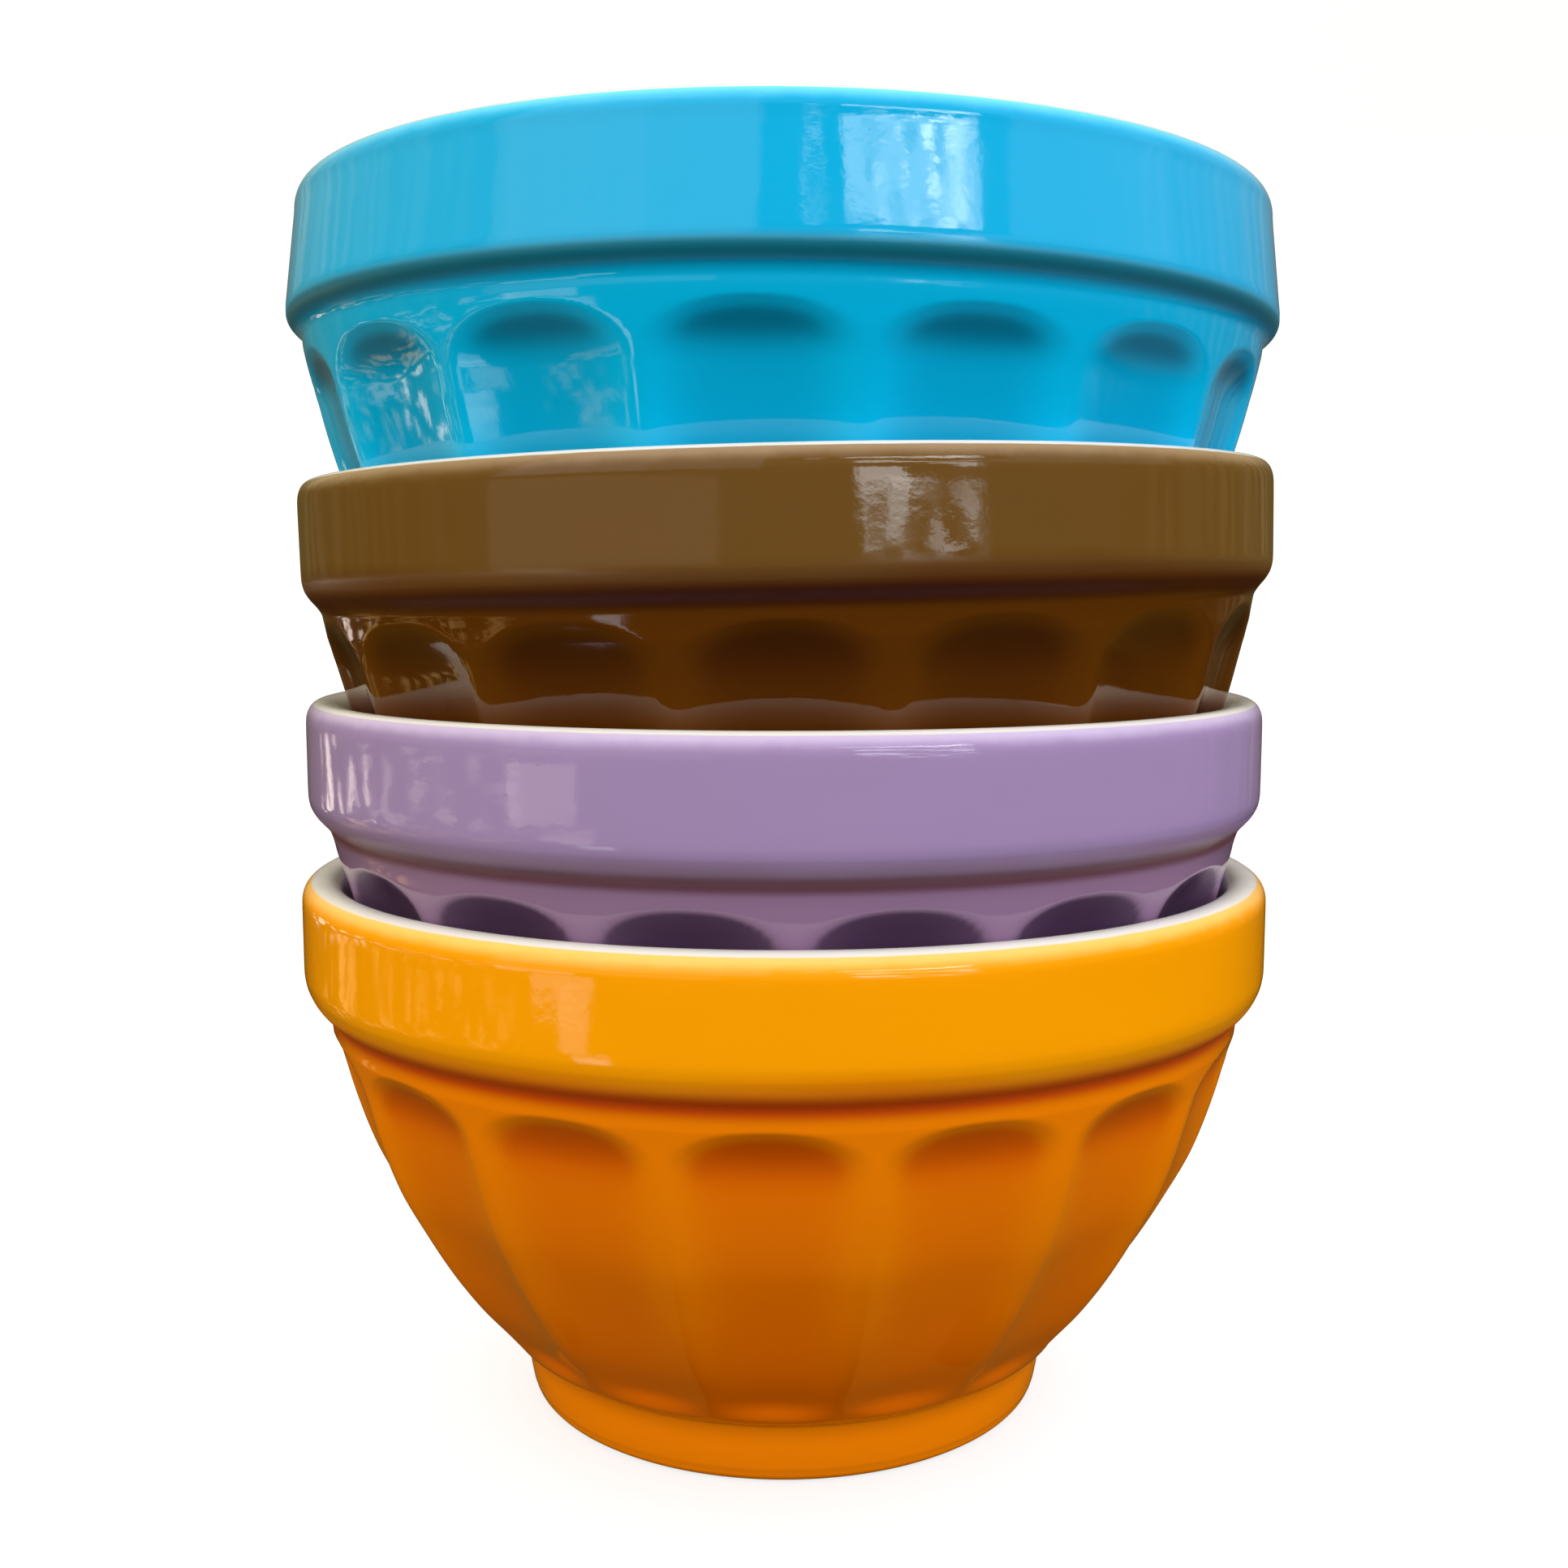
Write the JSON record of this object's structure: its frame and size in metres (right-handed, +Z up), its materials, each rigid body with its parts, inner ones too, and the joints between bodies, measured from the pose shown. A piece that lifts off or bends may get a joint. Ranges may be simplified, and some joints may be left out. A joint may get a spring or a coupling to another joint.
{
  "type": "nesting bowl set",
  "caption": "Stack of nested fluted stoneware bowls with raised rim bands and foot rings, glazed in different colours outside and white inside, for mixing or serving.",
  "frame": {"origin": "centre of the lowest bowl's foot, on the surface it stands on", "axes": "+Z up through the stack, towards the lips; -Y is the front, the side seen first"},
  "size_m": [0.1416, 0.1416, 0.1751],
  "materials": {
    "orange_glaze": null,
    "lilac_glaze": null,
    "brown_glaze": null,
    "turquoise_glaze": null
  },
  "bodies": {
    "orange": {"bowl_orange": "orange_glaze"},
    "lilac": {"bowl_lilac": "lilac_glaze"},
    "brown": {"bowl_brown": "brown_glaze"},
    "turquoise": {"bowl_turquoise": "turquoise_glaze"}
  },
  "joints": [
    {"name": "lilac_lift", "type": "slide", "parent": "orange", "child": "lilac", "axis": [0, 0, 1], "range_m": [0, 0.06]},
    {"name": "brown_lift", "type": "slide", "parent": "lilac", "child": "brown", "axis": [0, 0, 1], "range_m": [0, 0.055]},
    {"name": "turquoise_lift", "type": "slide", "parent": "brown", "child": "turquoise", "axis": [0, 0, 1], "range_m": [0, 0.05]}
  ]
}
